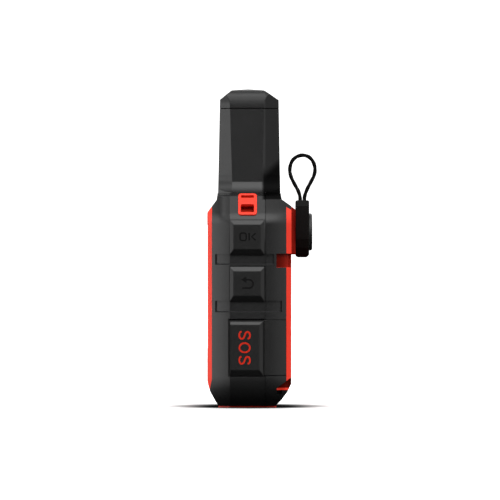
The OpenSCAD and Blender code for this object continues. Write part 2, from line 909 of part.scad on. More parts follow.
// A round tube along a route, from rings of points that stay square to the route
function along(route, i) = unit(
    route[min(i + 1, len(route) - 1)] - route[max(i - 1, 0)]
);
function ring(route, i, r, sides) = [
    for (k = [0:sides - 1])
        let (a = 360 * k / sides, t = along(route, i), side = unit(cross(t, [1, 0, 0])))
        route[i] + r * (cos(a) * unit(cross(side, t)) + sin(a) * side)
];
module tube(route, r, sides = 8) {
    n = len(route);
    points = [for (i = [0:n - 1]) each ring(route, i, r, sides)];
    walls = [
        for (i = [0:n - 2]) for (k = [0:sides - 1])
            [i * sides + k, i * sides + (k + 1) % sides,
             (i + 1) * sides + (k + 1) % sides, (i + 1) * sides + k]
    ];
    ends = [
        [for (k = [sides - 1:-1:0]) k],
        [for (k = [0:sides - 1]) (n - 1) * sides + k]
    ];
    polyhedron(points, concat(walls, ends));
}

module lanyard_loop() color([0.05, 0.05, 0.05]) tube(loop_route, cord_d / 2);

// ---- Nodes ---------------------------------------------------------------------------

front_shell();
rear_shell();
antenna_cap();
cap_gasket();
shell_gasket();
front_bezel();
rear_frame();
sole();
tether_eyelet();
display_window();
window_tape();
status_lens();
display_frame();
display_panel();
light_guide();
display_flex();
main_board();
modem_can();
radio_can();
gps_patch();
buzzer();
antenna_core();
antenna_helix();
antenna_feed_board();
antenna_coax();
battery_pack();
battery_foam();
right_key_board();
right_key_switches();
right_key_boot();
left_key_board();
left_key_switches();
left_key_boot();
power_key_switch();
usb_connector();
ok_key();
back_key();
sos_key();
up_key();
down_key();
power_key();
sos_cover();
sos_cover_anchor();
usb_cover();
usb_cover_anchor();
vent_membrane();
housing_inserts();
housing_screws();
spine_insert();
adapter_plate();
mount_screw();
screw_retainer();
loop_ferrule();
lanyard_loop();
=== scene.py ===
import json
import math

import bmesh
import bpy
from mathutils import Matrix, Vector

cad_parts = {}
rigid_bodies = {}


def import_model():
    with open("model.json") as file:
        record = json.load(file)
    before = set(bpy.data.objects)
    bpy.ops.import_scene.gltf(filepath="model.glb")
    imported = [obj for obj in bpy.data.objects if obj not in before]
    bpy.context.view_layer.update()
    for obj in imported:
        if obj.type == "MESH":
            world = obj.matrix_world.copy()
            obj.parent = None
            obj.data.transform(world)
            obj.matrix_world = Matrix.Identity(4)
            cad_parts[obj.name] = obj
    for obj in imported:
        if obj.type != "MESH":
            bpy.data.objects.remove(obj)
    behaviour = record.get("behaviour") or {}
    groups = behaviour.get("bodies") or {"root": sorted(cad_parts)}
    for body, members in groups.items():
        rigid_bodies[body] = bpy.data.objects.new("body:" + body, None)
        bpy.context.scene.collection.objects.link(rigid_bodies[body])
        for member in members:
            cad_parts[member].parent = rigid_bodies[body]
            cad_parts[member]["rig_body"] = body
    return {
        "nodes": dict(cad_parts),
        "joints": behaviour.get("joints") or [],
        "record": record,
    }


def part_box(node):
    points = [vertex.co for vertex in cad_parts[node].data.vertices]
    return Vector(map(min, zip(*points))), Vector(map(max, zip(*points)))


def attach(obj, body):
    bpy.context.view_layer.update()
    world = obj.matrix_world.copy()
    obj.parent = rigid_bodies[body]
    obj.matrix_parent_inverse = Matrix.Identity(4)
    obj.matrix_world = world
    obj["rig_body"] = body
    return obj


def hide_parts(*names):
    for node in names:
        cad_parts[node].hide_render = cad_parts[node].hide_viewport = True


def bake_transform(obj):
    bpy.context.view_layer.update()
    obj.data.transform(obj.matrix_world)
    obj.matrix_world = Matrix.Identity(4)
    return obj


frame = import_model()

MM = 0.001
nodes = frame["nodes"]
scene = bpy.context.scene
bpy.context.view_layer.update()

# ---- Camera and cord ----------------------------------------------------------------------------


def look_from(place, aim, lens):
    data = bpy.data.cameras.new("side_camera")
    data.lens = lens
    data.clip_start, data.clip_end = 0.1, 20
    camera = bpy.data.objects.new("side_camera", data)
    scene.collection.objects.link(camera)
    camera.location = place
    camera.rotation_euler = (Vector(aim) - Vector(place)).to_track_quat("-Z", "Y").to_euler()
    scene.camera = camera
    return camera


CAMERA_AWAY = 2.17
aim = Vector((0, 0.00016, 0.0488))
look_from(aim + Vector((CAMERA_AWAY, 0, 0)), aim, 500.0)
scene.view_settings.view_transform = "Standard"

CORD_ROUTE = [
    (0, 15.9, 61.6), (0, 15.9, 63), (0, 15.85, 64.4), (0, 15.7, 65.8), (0.05, 15.2, 67.3),
    (0.1, 14.4, 68.8), (0.2, 13.6, 70.3), (0.3, 12.95, 71.8), (0.4, 12.6, 73.4),
    (0.5, 12.75, 75.1), (0.55, 13.4, 76.7), (0.6, 14.7, 77.9), (0.6, 16.5, 78.4),
    (0.55, 18.3, 78), (0.5, 19.6, 76.8), (0.4, 20.3, 75.2), (0.3, 20.45, 73.5),
    (0.2, 20.05, 71.8), (0.1, 19.2, 70.1), (0.05, 18.3, 68.4), (0, 17.65, 66.9),
    (0, 17.25, 65.6), (0, 17.15, 64.4), (0, 17.15, 63), (0, 17.15, 61.6),
]


def smooth_line(points, steps):
    """A flowing line through the points."""
    points = [Vector(p) * MM for p in points]
    line = []
    for i in range(len(points) - 1):
        a, b = points[max(i - 1, 0)], points[i]
        c, d = points[i + 1], points[min(i + 2, len(points) - 1)]
        for k in range(steps):
            t = k / steps
            line.append(0.5 * (2 * b + (c - a) * t + (2 * a - 5 * b + 4 * c - d) * t * t
                               + (3 * b - a - 3 * c + d) * t ** 3))
    return line + [points[-1]]


def run_length(line):
    return sum((b - a).length for a, b in zip(line, line[1:]))


# ---- Shader values ------------------------------------------------------------------------------


class Value:
    """An output of a shader node, with arithmetic that makes Math nodes."""

    def __init__(self, book, socket):
        self.book, self.socket = book, socket

    def math(self, operation, *others, flip=False):
        terms = [self, *others]
        return self.book.node("ShaderNodeMath", {"operation": operation},
                              *(reversed(terms) if flip else terms))

    def __add__(self, other):
        return self.math("ADD", other)

    def __sub__(self, other):
        return self.math("SUBTRACT", other)

    def __rsub__(self, other):
        return self.math("SUBTRACT", other, flip=True)

    def __mul__(self, other):
        return self.math("MULTIPLY", other)

    def __truediv__(self, other):
        return self.math("DIVIDE", other)

    def __neg__(self):
        return self.math("MULTIPLY", -1.0)

    __radd__, __rmul__ = __add__, __mul__

    def above(self, other):
        return self.math("GREATER_THAN", other)

    def most(self, other):
        return self.math("MAXIMUM", other)

    def size(self):
        return self.math("ABSOLUTE")

    def wave(self):
        return self.math("SINE")

    def rise(self, start, end, low=0.0, high=1.0):
        """Goes from low at start to high at end, with a soft start and stop."""
        return self.book.node("ShaderNodeMapRange", {"interpolation_type": "SMOOTHSTEP"},
                              self, start, end, low, high)


class Book:
    """The node tree of one material, or of the world."""

    def __init__(self, owner):
        owner.use_nodes = True
        self.tree = owner.node_tree
        self.tree.nodes.clear()

    def node(self, kind, settings, *inputs, output=0, **named):
        made = self.tree.nodes.new(kind)
        for key, setting in settings.items():
            setattr(made, key, setting)
        for key, given in [*enumerate(inputs), *named.items()]:
            socket = made.inputs[key.replace("_", " ") if isinstance(key, str) else key]
            if isinstance(given, Value):
                self.tree.links.new(given.socket, socket)
            elif given is not None:
                socket.default_value = given
        return Value(self, made.outputs[output])

    def place(self):
        return self.node("ShaderNodeTexCoord", {}, output="Object")

    def axes(self, vector):
        split = self.node("ShaderNodeSeparateXYZ", {}, vector)
        return [Value(self, s) for s in split.socket.node.outputs]

    def noise(self, scale, detail=3.0, rough=0.55, where=None, output="Fac"):
        return self.node("ShaderNodeTexNoise", {"noise_dimensions": "3D"}, where or self.place(),
                         Scale=scale, Detail=detail, Roughness=rough, output=output)

    def mix(self, share, one, other):
        made = self.tree.nodes.new("ShaderNodeMix")
        made.data_type = "RGBA"
        for socket, given in ((made.inputs[0], share), (made.inputs[6], one), (made.inputs[7], other)):
            if isinstance(given, Value):
                self.tree.links.new(given.socket, socket)
            else:
                socket.default_value = (*given, 1) if isinstance(given, tuple) else given
        return Value(self, made.outputs[2])

    def bump(self, height, depth, distance=0.0001):
        return self.node("ShaderNodeBump", {}, Height=height, Strength=depth, Distance=distance,
                         output="Normal")

    def close(self, kind, surface):
        out = self.tree.nodes.new(kind)
        self.tree.links.new(surface.socket, out.inputs["Surface"])


def principled(book, colour, roughness, normal=None, **rest):
    return book.node("ShaderNodeBsdfPrincipled", {}, Base_Color=colour, Roughness=roughness,
                     Normal=normal, **rest)


def tone(colour, factor):
    return tuple(min(1.0, c * factor) for c in colour)


def new_book(name):
    material = bpy.data.materials.new(name)
    return material, Book(material)


def moulded(name, colour, rough=0.5, grain=5200, depth=0.3, spread=0.12, **rest):
    """Moulded plastic or rubber: a fine spark-eroded grain, faint mottling, uneven sheen."""
    material, book = new_book(name)
    cloud = book.noise(160, 2.0)
    fine = book.noise(grain, 4.0, 0.62)
    shade = book.mix(cloud * 0.7 + fine * 0.3, tone(colour, 1 - spread), tone(colour, 1 + spread))
    sheen = (book.noise(420, 3.0) - 0.5) * 0.10 + (fine - 0.5) * 0.08 + rough
    surface = principled(book, shade, sheen, book.bump(fine, depth), **rest)
    book.close("ShaderNodeOutputMaterial", surface)
    return material


def within(value, low, high, soft):
    """Nearly one between low and high, nought outside."""
    return value.rise(low - soft, low + soft) * value.rise(high + soft, high - soft)


def case_black(name):
    """The shells' plastic, with painted shade mixed in as a darker, matt surface: behind the antenna, on
    a band of its cap, low in the notches and lightly on the rear shoulder slope.
    """
    material, book = new_book(name)
    cloud = book.noise(160, 2.0)
    fine = book.noise(5200, 4.0, 0.62)
    _, y, z = book.axes(book.place())
    shade = book.mix(cloud * 0.7 + fine * 0.3, (0.0075, 0.0075, 0.0076), (0.0095, 0.0095, 0.0097))
    sheen = (book.noise(420, 3.0) - 0.5) * 0.10 + (fine - 0.5) * 0.08 + 0.36
    relief = book.bump(fine, 0.3)
    surface = principled(book, shade, sheen, relief, Specular_IOR_Level=0.4)
    # The dark, matt surface that stands in for painted shade.
    shade_matt = principled(book, (0.0012, 0.0012, 0.0012, 1), 0.8, relief, Specular_IOR_Level=0.0)
    # Painted shade masks: behind the antenna, low in the notch, lightly on the rear shoulder slope and
    # in a band on the cap.
    antenna_back_shade = y.rise(0.0035, 0.0047) * (z - y * 0.9).rise(0.0722, 0.0662) * z.rise(0.0641, 0.0647)
    notch_shade = within(y, 0.0084, 0.010, 0.0001) * within(z, 0.0042, 0.0056, 0.0001)
    slope = y.rise(0.0046, 0.0052) * z.rise(0.0575, 0.0625) * 0.4
    cap_band_shade = within(z, 0.0947, 0.0968, 0.0006) * 0.35
    # The painted shade share: where it is high, the surface turns dark and matt.
    painted_shade = (antenna_back_shade.most(notch_shade) * 0.93).most(slope).most(cap_band_shade)
    book.close("ShaderNodeOutputMaterial", book.node("ShaderNodeMixShader", {}, painted_shade, surface, shade_matt))
    return material


def case_red(name):
    """The frames' plastic, with painted shade (darker and matt) deep in the notches, on the spine behind
    the case and in the eyelet's holes.
    """
    material, book = new_book(name)
    cloud = book.noise(160, 2.0)
    fine = book.noise(4200, 4.0, 0.62)
    x, y, z = book.axes(book.place())
    side = x.size()
    # Painted shade masks: deep in the upper and lower notches, on the spine behind the case, and in the
    # eyelet's holes below the eyelet block's top.
    upper_notch_shade = within(z, 0.04345, 0.04765, 0.00005) * y.above(0.008)
    lower_notch_shade = within(z, 0.0062, 0.010, 0.00012) * (z - y * 0.727).rise(0.00012, -0.00008) * y.above(0.0083)
    spine_shade = y.rise(0.0128, 0.0134)
    depth = ((side - 0.025) * 0.718 + (z - 0.0589) * 0.696).rise(0.0001, -0.0009)
    hole = depth * y.size().rise(0.006, 0.0055) * z.above(0.059)
    # The painted shade: where this is low, the frame's colour is darkened towards black and the surface
    # is turned matt.
    light = (1.0 - upper_notch_shade * (0.88 - y.rise(0.009, 0.013) * 0.2)) * (1.0 - lower_notch_shade * 0.9) \
        * (1.0 - spine_shade * 0.72) * (1.0 - hole * 0.5)
    shade = book.mix(cloud * 0.7 + fine * 0.3, (0.80, 0.030, 0.0105), (0.88, 0.036, 0.0130))
    shade = book.mix(light, (0.0, 0.0, 0.0), shade)
    sheen = (book.noise(420, 3.0) - 0.5) * 0.10 + (fine - 0.5) * 0.08 + 0.46
    surface = principled(book, shade, sheen, book.bump(fine, 0.16), Specular_IOR_Level=0.3)
    # The matt surface that the painted shade mixes in.
    shade_matt = principled(book, shade, 0.9, book.bump(fine, 0.16), Specular_IOR_Level=0.0)
    book.close("ShaderNodeOutputMaterial", book.node("ShaderNodeMixShader", {}, light, shade_matt, surface))
    return material


def metal(name, colour, rough=0.35, stretch=(1, 40, 1), **rest):
    """Worked metal with fine tool lines along one direction."""
    material, book = new_book(name)
    lines = book.node("ShaderNodeMapping", {}, book.place(), Scale=stretch)
    brushed = book.noise(900, 4.0, 0.6, where=lines)
    shade = book.mix(brushed, tone(colour, 0.88), tone(colour, 1.06))
    surface = principled(book, shade, brushed * 0.18 + (rough - 0.09), book.bump(brushed, 0.12),
                         Metallic=1.0, **rest)
    book.close("ShaderNodeOutputMaterial", surface)
    return material


def turned(name, colour, centre, rough=0.42):
    """A lathe-turned face: fine rings round the axis, worn a little brighter at the rim."""
    material, book = new_book(name)
    x, _, z = book.axes(book.place())
    dx, dz = x - centre[0], z - centre[2]
    radius = (dx * dx + dz * dz).math("SQRT")
    rings = (radius * 31000).wave()
    fine = book.noise(4200, 3.0)
    shade = book.mix(radius.rise(0.0046, 0.0058), tone(colour, 0.95), tone(colour, 1.25))
    surface = principled(book, shade, fine * 0.12 + (rough - 0.06),
                         book.bump(rings * 0.5 + fine * 0.6, 0.22), Specular_IOR_Level=0.45)
    book.close("ShaderNodeOutputMaterial", surface)
    return material


def window_glass(name):
    """The display glass: clear over the picture, printed black round it."""
    material, book = new_book(name)
    x, _, z = book.axes(book.place())
    low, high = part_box("display_panel")
    edge = (x.size() - (high.x - 0.0014)).most((z - (low.z + high.z) / 2).size()
                                               - ((high.z - low.z) / 2 - 0.0014))
    print_share = edge.rise(-0.00005, 0.00005)
    smear = book.noise(140, 3.0)
    surface = principled(book, book.mix(print_share, (0.05, 0.055, 0.06), (0.006, 0.006, 0.007)),
                         smear * 0.05 + 0.04, book.bump(book.noise(60, 1.0), 0.02),
                         Alpha=print_share * 0.82 + 0.18, Coat_Weight=smear * 0.2 + 0.5)
    book.close("ShaderNodeOutputMaterial", surface)
    return material


def display_face(name):
    """A reflective display that is switched off: grey-green, with its fine rows of dots."""
    material, book = new_book(name)
    x, _, z = book.axes(book.place())
    rows = ((x * 41000).wave() * (z * 41000).wave()).math("ADD", 1.0) * 0.5
    cloud = book.noise(90, 2.0)
    shade = book.mix(rows * 0.5 + cloud * 0.5, (0.20, 0.23, 0.20), (0.30, 0.33, 0.29))
    surface = principled(book, shade, cloud * 0.1 + 0.3)
    book.close("ShaderNodeOutputMaterial", surface)
    return material


def circuit_board(name):
    """Solder mask over copper tracks, with a slight relief."""
    material, book = new_book(name)
    x, _, z = book.axes(book.place())
    track = ((x + book.noise(120, 0.0) * 0.004) * 5200).wave().above(0.55)
    cross = ((z + book.noise(95, 0.0) * 0.004) * 4100).wave().above(0.72)
    copper = track.most(cross)
    shade = book.mix(copper, (0.012, 0.085, 0.045), (0.03, 0.19, 0.08))
    surface = principled(book, shade, book.noise(700) * 0.1 + 0.28, book.bump(copper, 0.2))
    book.close("ShaderNodeOutputMaterial", surface)
    return material


def braided(name, colour):
    """Cord yarn: fine filaments in the relief of the braid."""
    material, book = new_book(name)
    yarn = book.noise(9000, 3.0, 0.7)
    fleck = book.noise(2600, 2.0).rise(0.63, 0.72)
    shade = book.mix(yarn, tone(colour, 0.6), tone(colour, 1.5))
    shade = book.mix(fleck, shade, (0.06, 0.06, 0.06))
    surface = principled(book, shade, yarn * 0.15 + 0.75, book.bump(yarn, 0.6),
                         Specular_IOR_Level=0.08)
    book.close("ShaderNodeOutputMaterial", surface)
    return material


screw_low, screw_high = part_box("mount_screw")
finishes = {
    "shell_black": case_black("shell_black"),
    "signal_red": case_red("signal_red"),
    "key_rubber": moulded("key_rubber", (0.007, 0.007, 0.007), 0.37, 6500, 0.25, 0.08,
                          Specular_IOR_Level=0.4),
    "seal_rubber": moulded("seal_rubber", (0.008, 0.008, 0.008), 0.6, 3000, 0.2),
    "window_glass": window_glass("window_glass"),
    "clear_plastic": moulded("clear_plastic", (0.55, 0.62, 0.6), 0.2, 2000, 0.05),
    "white_plastic": moulded("white_plastic", (0.7, 0.69, 0.66), 0.45, 2600, 0.12, 0.05),
    "display_grey": display_face("display_grey"),
    "flex_amber": moulded("flex_amber", (0.46, 0.2, 0.045), 0.3, 1500, 0.1),
    "board_green": circuit_board("board_green"),
    "shield_tin": metal("shield_tin", (0.58, 0.59, 0.6), 0.34, (30, 1, 1)),
    "antenna_ceramic": moulded("antenna_ceramic", (0.6, 0.55, 0.44), 0.55, 3400, 0.2),
    "black_plastic": moulded("black_plastic", (0.018, 0.018, 0.02), 0.4),
    "copper": metal("copper", (0.62, 0.3, 0.14), 0.35),
    "battery_wrap": moulded("battery_wrap", (0.03, 0.085, 0.24), 0.33, 900, 0.1),
    "foam_grey": moulded("foam_grey", (0.055, 0.055, 0.06), 0.9, 1700, 0.9),
    "boot_silicone": moulded("boot_silicone", (0.13, 0.135, 0.14), 0.6, 3000, 0.15),
    "brass": metal("brass", (0.6, 0.42, 0.16), 0.32),
    "screw_steel": metal("screw_steel", (0.2, 0.2, 0.21), 0.36),
    "plate_black": moulded("plate_black", (0.0055, 0.0055, 0.0052), 0.55, 4800, 0.3,
                           Specular_IOR_Level=0.06),
    "screw_black": turned("screw_black", (0.01, 0.01, 0.01), (screw_low + screw_high) / 2, 0.46),
    "cord_black": braided("cord_black", (0.0035, 0.0035, 0.0035)),
    "mark_dark": moulded("mark_dark", (0.0038, 0.0038, 0.0038), 0.6, 6500, 0.1,
                         Specular_IOR_Level=0.1),
    "mark_red": moulded("mark_red", (0.55, 0.02, 0.006), 0.5, 5200, 0.15, 0.08,
                        Specular_IOR_Level=0.15),
}
slot_of = {part["node"]: part["material_slot"] for part in frame["record"]["subparts"]}
for name, node in nodes.items():
    node.data.materials.clear()
    node.data.materials.append(finishes[slot_of[name]])

# ---- Pieces -------------------------------------------------------------------------------------


def piece(name, data, body, slot, stands_for=(), finish=None):
    made = bpy.data.objects.new(name, data)
    scene.collection.objects.link(made)
    data.materials.clear()
    data.materials.append(finishes[finish or slot])
    if body:
        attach(made, body)
    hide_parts(*stands_for)
    return made


def as_mesh(name, form, smooth_under=32):
    data = bpy.data.meshes.new(name)
    form.normal_update()
    form.to_mesh(data)
    form.free()
    data.shade_smooth()
    data.set_sharp_from_angle(angle=math.radians(smooth_under))
    return data


def clean_copy(*names):
    """The nodes' faces, joined, with the triangles of each flat face made one again."""
    form = bmesh.new()
    for name in names:
        form.from_mesh(nodes[name].data)
    bmesh.ops.remove_doubles(form, verts=form.verts, dist=3e-6)
    bmesh.ops.dissolve_limit(form, angle_limit=math.radians(0.5), verts=form.verts,
                             edges=form.edges, delimit=set())
    return form


def ease(form, width, over=12, steps=2, chosen=lambda edge: True):
    """Rounds every edge that turns by more than some degrees."""
    sharp = [e for e in form.edges
             if len(e.link_faces) == 2 and e.calc_face_angle(0) > math.radians(over) and chosen(e)]
    bmesh.ops.bevel(form, geom=sharp, offset=width * MM, offset_type="OFFSET", segments=steps,
                    profile=0.5, affect="EDGES", clamp_overlap=False, loop_slide=True)
    return form


def even_light(made):
    """Normals weighted to the large faces, so that flats stay flat beside their rounded edges."""
    weigh = made.modifiers.new("even_light", "WEIGHTED_NORMAL")
    weigh.keep_sharp = True
    return made


def softened(name, node, width, over=12, steps=2, edit=None, chosen=lambda edge: True):
    """A node's mesh with its chosen edges rounded."""
    form = clean_copy(node)
    if edit:
        edit(form)
    ease(form, width, over, steps, chosen)
    body = nodes[node]["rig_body"]
    return even_light(piece(name, as_mesh(name, form), body, slot_of[node], [node]))


FRONT_ARC = (5.937, 26.9)
CORNER_Y, CORNER_R = 4.9, 12.0
TURN_UNDER = [(0.5, 62.0), (2.0, 51.0), (4.3, 30.0), (6.9, 13.0), (9.6, 0.0)]
SHOULDER = [(56.8, 0.0), (60.4, 44.12)]
COVE = [(66.7, 62.0), (67.2, 50.0), (68.1, 38.0), (69.3, 24.0), (70.7, 8.0), (72.0, 0.0)]


def flow(table, at):
    """Reads a table of rising places, with straight lines between them."""
    if at <= table[0][0]:
        return table[0][1]
    for (a, low), (b, high) in zip(table, table[1:]):
        if at <= b:
            return low + (high - low) * (at - a) / (b - a)
    return table[-1][1]


def side_turn(y):
    """How far the side wall has turned from +X towards the back, in degrees."""
    if y < -6.12:
        return math.degrees(math.asin(max(-0.999, (y - FRONT_ARC[0]) / FRONT_ARC[1])))
    if y > CORNER_Y + 0.02:
        return math.degrees(math.asin(min(0.7, (y - CORNER_Y) / CORNER_R)))
    return 0.0


def pointing(place, turn, tilt):
    """The direction at some degrees from outwards towards the back, and at some degrees above level."""
    turn, tilt = math.radians(turn), math.radians(tilt)
    return Vector((math.copysign(math.cos(turn) * math.cos(tilt), place.x),
                   math.sin(turn) * math.cos(tilt), math.sin(tilt)))


def case_normal(place, normal, middle):
    """The flowing direction of the case's outside at a place, or None where a face is a flat one."""
    level = math.hypot(normal.x, normal.y)
    if level < 0.25:
        return None
    y, z = place.y / MM, place.z / MM
    if 66.7 < middle.z < 72.1 and abs(middle.x) > 10.4 and abs(normal.y) < 0.02:
        corner = -38.1 if middle.y < -5.4 else 41.3 if middle.y > 4 else 0.0
        tilt = flow(COVE, z)
        return pointing(place, corner * (1 - tilt / 62), tilt)
    if z > 65.6:
        return None
    turn = math.degrees(math.atan2(normal.y, abs(normal.x)))
    tilt = math.degrees(math.atan2(normal.z, level))
    expected = -flow(TURN_UNDER, middle.z) if middle.z < 30 else flow(SHOULDER, middle.z)
    if abs(turn - side_turn(middle.y)) > 5 or abs(tilt - expected) > 20:
        return None
    wide = side_turn(min(y, -6.13) if middle.y < -6.1 else max(y, -6.1))
    if y < -6.1 and z > SHOULDER[0][0]:
        share = min(1.0, (z - SHOULDER[0][0]) / 3.6)
        wide *= 1 - share * (1 - min(1.0, (-6.1 - y) / 3.5))
    here = -flow(TURN_UNDER, z) if z < 30 else flow(SHOULDER, z)
    return pointing(place, wide, here * math.cos(math.radians(wide)) ** 2)


FACET_CUTS = [((0, 0, 9.6), (0, 0, 1)), ((0, -5.4, 0), (0, 1, 0)), ((0, 4, 0), (0, 1, 0))]


def flowing_copy(name, node, rule):
    """A copy of a node whose outer facets shade as the rounded form that they stand for."""
    form = clean_copy(node)
    for place, way in FACET_CUTS:
        bmesh.ops.bisect_plane(form, geom=[*form.verts, *form.edges, *form.faces],
                               plane_co=Vector(place) * MM, plane_no=way)
    bmesh.ops.triangulate(form, faces=form.faces)
    form.normal_update()
    directions = []
    for face in form.faces:
        middle = face.calc_center_median() / MM
        for loop in face.loops:
            directions.append(rule(loop.vert.co, face.normal, middle) or face.normal.copy())
    data = bpy.data.meshes.new(name)
    form.to_mesh(data)
    form.free()
    data.shade_smooth()
    data.normals_split_custom_set(directions)
    return piece(name, data, nodes[node]["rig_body"], slot_of[node], [node])


flowing_copy("shell_front", "front_shell", case_normal)
flowing_copy("shell_rear", "rear_shell", case_normal)
flowing_copy("bezel", "front_bezel", case_normal)
flowing_copy("frame_rear", "rear_frame", case_normal)
softened("cap", "antenna_cap", 0.12, over=20)
softened("eyelet", "tether_eyelet", 0.18)
softened("plate", "adapter_plate", 0.2)
softened("thumb_screw", "mount_screw", 0.12, over=25)
softened("sole_pad", "sole", 0.06)


MARK_HEIGHT = 0.08
RECESS_RIM = 25.2


def sink_face(form):
    """Draws the outermost face in a little, so that the raised mark on it stays in the case's box."""
    outer = max(abs(v.co.x) for v in form.verts)
    for v in form.verts:
        if abs(v.co.x) > outer - 2e-5:
            v.co.x -= math.copysign(MARK_HEIGHT * MM, v.co.x)


def raised_edge(edge):
    """Whether an edge of a key stands out of its recess."""
    return max(abs(v.co.x) for v in edge.verts) > RECESS_RIM * MM


for key in ("ok", "back", "up", "down"):
    softened(key + "_pad", key + "_key", 0.2, steps=3, edit=sink_face, chosen=raised_edge)
softened("power_pad", "power_key", 0.25, steps=3)


class Spot:
    """A flat place to draw on: along, up and out of the face, in millimetres."""

    def __init__(self, origin, along, up):
        self.origin, self.along, self.up = Vector(origin) * MM, Vector(along), Vector(up)
        self.out = self.along.cross(self.up)

    def at(self, u, v, height):
        return self.origin + (self.along * u + self.up * v + self.out * height) * MM


def stroke(form, spot, path, width, height, closed=False):
    """A raised bar with sloping sides along a path on a face."""
    rows = []
    count = len(path)
    for i, (u, v) in enumerate(path):
        before = path[(i - 1) % count if closed else max(i - 1, 0)]
        after = path[(i + 1) % count if closed else min(i + 1, count - 1)]
        du, dv = after[0] - before[0], after[1] - before[1]
        size = math.hypot(du, dv) or 1
        nu, nv = -dv / size, du / size
        rows.append([form.verts.new(spot.at(u + nu * side * w, v + nv * side * w, h))
                     for side, w, h in ((-1, width / 2, -0.05), (-1, width / 2 - 0.05, height),
                                        (1, width / 2 - 0.05, height), (1, width / 2, -0.05))])
    pairs = list(zip(rows, rows[1:] + rows[:1])) if closed else list(zip(rows, rows[1:]))
    for one, other in pairs:
        for k in range(4):
            form.faces.new((one[k], other[k], other[(k + 1) % 4], one[(k + 1) % 4]))
    if not closed:
        form.faces.new(rows[0])
        form.faces.new(reversed(rows[-1]))


def patch(form, spot, outline, height):
    """A raised flat shape with upright sides."""
    foot = [form.verts.new(spot.at(u, v, -0.05)) for u, v in outline]
    head = [form.verts.new(spot.at(u, v, height)) for u, v in outline]
    for k in range(len(outline)):
        form.faces.new((foot[k - 1], foot[k], head[k], head[k - 1]))
    form.faces.new(head)
    form.faces.new(reversed(foot))


def arc(centre, radius, start, end, steps, tall=1.0):
    return [(centre[0] + radius * math.cos(math.radians(start + (end - start) * k / steps)),
             centre[1] + radius * tall * math.sin(math.radians(start + (end - start) * k / steps)))
            for k in range(steps + 1)]


def flowing(points, steps=6):
    return [(p.x / MM, p.y / MM) for p in smooth_line([(x, y, 0) for x, y in points], steps)]


def mark(name, body, slot, finish, draw):
    form = bmesh.new()
    draw(form)
    bmesh.ops.recalc_face_normals(form, faces=form.faces)
    return piece(name, as_mesh(name, form, 25), body, slot, finish=finish)


def key_middle(node):
    low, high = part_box(node)
    return (low.z + high.z) / 2 / MM


face_x = (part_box("ok_key")[1].x / MM) - 0.08
lift = 0.07


def face_spot(node, side=1, u=0.0, v=0.0):
    return Spot((side * face_x, side * u, key_middle(node) + v), (0, side, 0), (0, 0, 1))


def draw_ok(form):
    spot = face_spot("ok_key", v=0.25)
    corners = (((-1.55, 0.6), 0), ((-2.35, 0.6), 90), ((-2.35, -0.6), 180), ((-1.55, -0.6), 270))
    ring = [p for centre, start in corners for p in arc(centre, 0.55, start, start + 90, 4)]
    stroke(form, spot, ring, 0.5, lift, closed=True)
    stroke(form, spot, [(-0.1, -1.15), (-0.1, 1.15)], 0.55, lift)
    stroke(form, spot, [(1.9, 1.1), (0.65, 0.0), (1.9, -1.1)], 0.55, lift)


def draw_back(form):
    spot = face_spot("back_key", v=0.1)
    bend = arc((-0.15, 0.0), 1.3, -90, 90, 12)
    stroke(form, spot, [(-2.3, -1.3), *bend, (-1.0, 1.3)], 0.55, lift)
    patch(form, spot, [(-2.55, 1.3), (-0.95, 0.35), (-0.95, 2.25)], lift)


def draw_arrow(node, way):
    def draw(form):
        stroke(form, face_spot(node, -1, 0.8), [(-1.5, -0.7 * way), (0, 0.8 * way), (1.5, -0.7 * way)],
               0.6, lift)
    return draw


LETTER_S = [(1.2, 1.0), (1.0, 1.5), (0.35, 1.74), (-0.35, 1.72), (-0.98, 1.42), (-1.17, 0.92),
            (-0.85, 0.4), (0, 0.04), (0.88, -0.34), (1.2, -0.92), (1.0, -1.44), (0.35, -1.74),
            (-0.4, -1.74), (-1.05, -1.48), (-1.25, -1.0)]


def draw_distress(form):
    for height, letter in ((22.45, "S"), (18.6, "O"), (14.75, "S")):
        spot = Spot((face_x - 0.01, -1.5, height), (0, 1, 0), (0, 0, 1))
        if letter == "S":
            stroke(form, spot, [(y * 0.93, -x * 0.9) for x, y in flowing(LETTER_S)], 0.58, lift)
        else:
            stroke(form, spot, arc((0, 0), 1.6, 0, 360, 40, 0.9)[:-1], 0.58, lift, closed=True)


def draw_power(form):
    slope = math.atan2(6.6, 6.4)
    out = Vector((-math.sin(slope), 0, math.cos(slope)))
    climb = Vector((math.cos(slope), 0, math.sin(slope)))
    top = Vector((-25, 0, 58.9)) + climb * 5.2 + out * 0.4
    spot = Spot(top, (0, -1, 0), climb)
    stroke(form, spot, arc((0, -0.1), 1.05, 125, 415, 20), 0.36, 0.05)
    stroke(form, spot, [(0, 0.1), (0, 1.25)], 0.36, 0.05)


mark("ok_mark", "ok_key", "key_rubber", "mark_dark", draw_ok)
mark("back_mark", "back_key", "key_rubber", "mark_dark", draw_back)
mark("up_mark", "up_key", "key_rubber", "mark_dark", draw_arrow("up_key", 1))
mark("down_mark", "down_key", "key_rubber", "mark_dark", draw_arrow("down_key", -1))
mark("power_mark", "power_key", "key_rubber", "mark_dark", draw_power)
mark("distress_letters", "sos_cover", "signal_red", "mark_red", draw_distress)

# ---- Covers: one piece of rubber each, with its strap and anchored end ----------------------------

CORNER_X = 13.0
DOOR_END = 4.71


